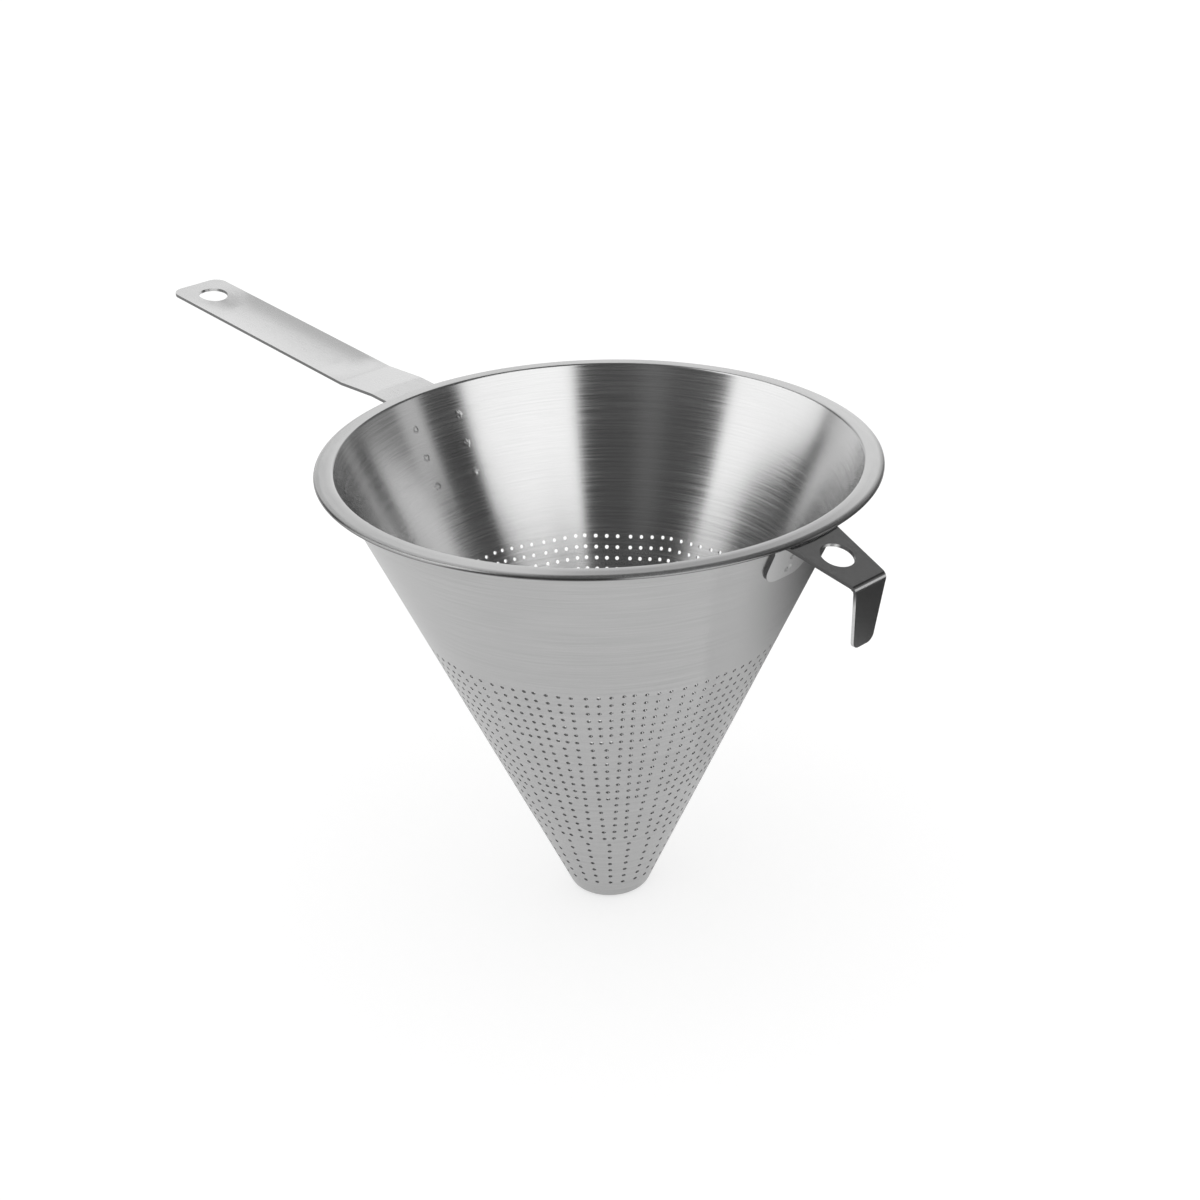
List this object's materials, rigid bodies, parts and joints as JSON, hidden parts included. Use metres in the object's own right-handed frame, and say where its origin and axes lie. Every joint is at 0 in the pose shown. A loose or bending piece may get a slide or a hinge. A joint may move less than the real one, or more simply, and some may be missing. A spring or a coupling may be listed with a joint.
{
  "type": "conical strainer",
  "caption": "Conical sheet-steel strainer with rows of round holes, a turned-out lip, a long strap handle with a hanging hole and a pan hook opposite.",
  "frame": {"origin": "centre of the flat face of the cone's tip", "axes": "+Z along the cone's axis, out of its mouth; -X towards the handle's end; +X towards the pan hook"},
  "size_m": [0.3651, 0.2, 0.1881],
  "materials": {
    "cone_steel": "brushed",
    "handle_steel": "brushed",
    "hook_steel": "brushed",
    "weld_steel": "brushed"
  },
  "bodies": {
    "root": {"cone": "cone_steel", "handle": "handle_steel", "hook": "hook_steel", "handle_spot_welds": "weld_steel", "hook_spot_welds": "weld_steel"}
  },
  "joints": []
}
